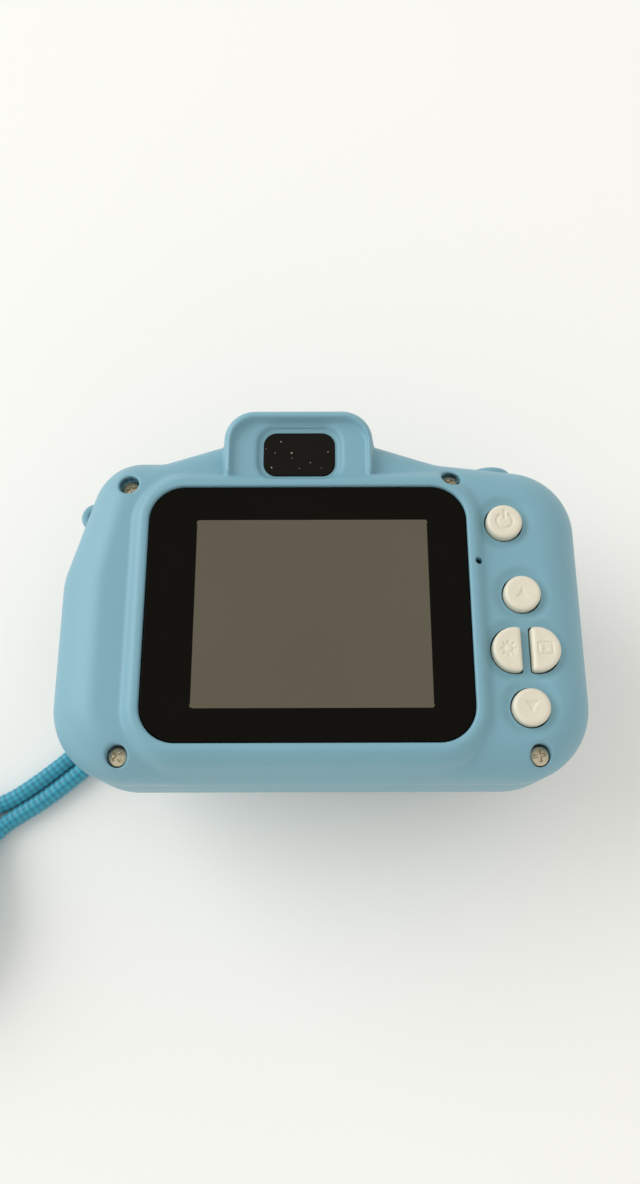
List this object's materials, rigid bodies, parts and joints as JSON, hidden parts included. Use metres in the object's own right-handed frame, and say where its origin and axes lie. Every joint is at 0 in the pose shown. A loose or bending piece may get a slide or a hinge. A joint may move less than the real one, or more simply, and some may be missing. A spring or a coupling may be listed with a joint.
{
  "type": "kids digital camera",
  "caption": "Small moulded digital camera for children: back display, viewfinder hump, push buttons, round lens barrel, side port flap and a braided neck strap.",
  "frame": {"origin": "on the surface the lens rim rests on, under the middle of the camera's box", "axes": "+Z out of the display side, away from the lens; +Y towards the viewfinder hump; +X towards the buttons"},
  "size_m": [0.1537, 0.1058, 0.044],
  "materials": {
    "case_blue": "soft matte with a fine moulded grain",
    "button_white": "slightly glossy, warm white",
    "window_black": "glossy smoked black",
    "display_grey": "semi-gloss film, unlit",
    "tray_metal": "brushed",
    "screw_steel": "zinc-plated, slightly yellow",
    "tape_foam": "matte foam",
    "tunnel_black": "matte",
    "trim_silver": "satin silver",
    "lens_black": "satin",
    "clear_glass": "clear, polished",
    "board_green": "solder mask",
    "chip_black": "matte epoxy",
    "flex_amber": "polyimide film",
    "socket_steel": "stamped, tin-plated",
    "battery_foil": "embossed foil pouch",
    "wire_red": "soft insulation",
    "wire_black": "soft insulation",
    "speaker_black": "satin basket",
    "switch_grey": "matte",
    "port_rubber": "soft matte rubber",
    "strap_teal": "satin braided cord",
    "ferrule_teal": "satin plastic"
  },
  "bodies": {
    "case": {"rear_cover": "case_blue", "front_cover": "case_blue", "case_screws": "screw_steel", "screen_window": "window_black", "window_tape": "tape_foam", "lcd_panel": "display_grey", "lcd_tray": "tray_metal", "lcd_flex": "flex_amber", "finder_window": "window_black", "finder_tunnel": "tunnel_black", "finder_front_window": "window_black", "lens_barrel": "case_blue", "lens_trim_ring": "trim_silver", "lens_hood_cone": "lens_black", "lens_cover": "clear_glass", "lens_cell": "lens_black", "lens_holder": "switch_grey", "sensor_board": "board_green", "sensor_flex": "flex_amber", "main_board": "board_green", "processor_chip": "chip_black", "memory_chip": "chip_black", "usb_socket": "socket_steel", "card_socket": "socket_steel", "board_screws": "screw_steel", "battery": "battery_foil", "battery_wires": "wire_red", "speaker": "speaker_black", "speaker_wires": "wire_black", "microphone": "socket_steel", "button_board": "board_green", "button_board_screws": "screw_steel", "button_flex": "flex_amber", "power_switch": "switch_grey", "up_switch": "switch_grey", "menu_switch": "switch_grey", "playback_switch": "switch_grey", "down_switch": "switch_grey", "shutter_switch": "switch_grey", "shutter_board": "board_green", "strap_string": "strap_teal", "strap_ferrule": "ferrule_teal", "strap_strand_a": "strap_teal", "strap_strand_b": "strap_teal", "strap_coil": "strap_teal"},
    "power_button": {"power_button": "button_white", "power_plunger": "chip_black"},
    "up_button": {"up_button": "button_white", "up_plunger": "chip_black"},
    "menu_button": {"menu_button": "button_white", "menu_plunger": "chip_black"},
    "playback_button": {"playback_button": "button_white", "playback_plunger": "chip_black"},
    "down_button": {"down_button": "button_white", "down_plunger": "chip_black"},
    "shutter_button": {"shutter_button": "case_blue", "shutter_plunger": "chip_black"},
    "port_cover": {"port_cover": "port_rubber"}
  },
  "joints": [
    {"name": "power_press", "type": "slide", "parent": "case", "child": "power_button", "axis": [0, 0, -1], "range_m": [0, 0.0005], "stiffness_N_per_m": 400},
    {"name": "up_press", "type": "slide", "parent": "case", "child": "up_button", "axis": [0, 0, -1], "range_m": [0, 0.0005], "stiffness_N_per_m": 400},
    {"name": "menu_press", "type": "slide", "parent": "case", "child": "menu_button", "axis": [0, 0, -1], "range_m": [0, 0.0005], "stiffness_N_per_m": 400},
    {"name": "playback_press", "type": "slide", "parent": "case", "child": "playback_button", "axis": [0, 0, -1], "range_m": [0, 0.0005], "stiffness_N_per_m": 400},
    {"name": "down_press", "type": "slide", "parent": "case", "child": "down_button", "axis": [0, 0, -1], "range_m": [0, 0.0005], "stiffness_N_per_m": 400},
    {"name": "shutter_press", "type": "slide", "parent": "case", "child": "shutter_button", "axis": [0, -1, 0], "range_m": [0, 0.0008], "stiffness_N_per_m": 400},
    {"name": "port_cover_hinge", "type": "hinge", "parent": "case", "child": "port_cover", "pos_m": [0.04442, -0.0124, 0.0271], "axis": [0, 0, -1], "range_deg": [0, 100]}
  ]
}
